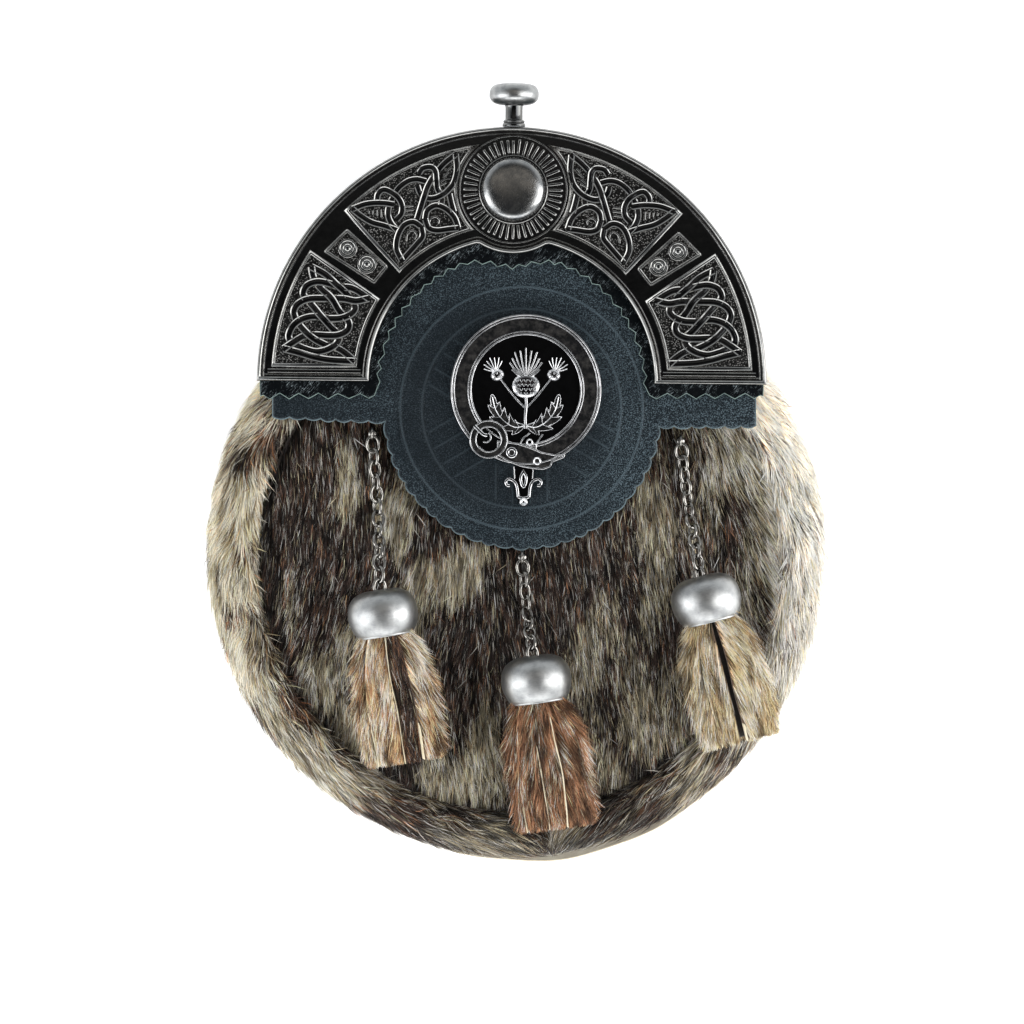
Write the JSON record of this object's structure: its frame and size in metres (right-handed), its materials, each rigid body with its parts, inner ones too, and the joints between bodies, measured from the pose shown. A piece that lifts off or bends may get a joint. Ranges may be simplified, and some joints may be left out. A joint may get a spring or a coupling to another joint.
{
  "type": "sporran pouch",
  "caption": "Round fur pouch with a scalloped leather flap under a cast knotwork arch with a domed medallion and knob, a strap badge, and fur tassels in bell caps on chains.",
  "frame": {"origin": "under the middle of the bounding box, on the surface that the pouch's back rests on", "axes": "+X to the right as seen from the front, +Y from the pouch up to the knob, +Z out of the back towards the front"},
  "size_m": [0.1818, 0.2322, 0.0558],
  "materials": {
    "pale_hide": "undyed hide, matt, with small stains",
    "gusset_fur": "short mottled fur, brown and cream",
    "front_fur": "short mottled fur, dark brown with cream patches",
    "black_leather": "fine grained, blue-black, satin",
    "creased_leather": "black, creased, satin",
    "blackened_metal": "blackened cast metal with worn bright edges",
    "brushed_pewter": "brushed pewter, satin",
    "chain_metal": "dark nickel, polished",
    "strip_fur": "fur strips, brown to golden, with pale cut edges"
  },
  "bodies": {
    "root": {"back_panel": "pale_hide", "fur_gusset": "gusset_fur", "fur_front_panel": "front_fur", "lid_band": "black_leather", "flap": "black_leather", "cantle_backing": "creased_leather", "cantle": "blackened_metal", "cantle_dome": "brushed_pewter", "knob": "brushed_pewter", "badge": "blackened_metal", "eye_left": "chain_metal", "chain_left": "chain_metal", "cap_left": "brushed_pewter", "tassel_left": "strip_fur", "eye_centre": "chain_metal", "chain_centre": "chain_metal", "cap_centre": "brushed_pewter", "tassel_centre": "strip_fur", "eye_right": "chain_metal", "chain_right": "chain_metal", "cap_right": "brushed_pewter", "tassel_right": "strip_fur"}
  },
  "joints": []
}
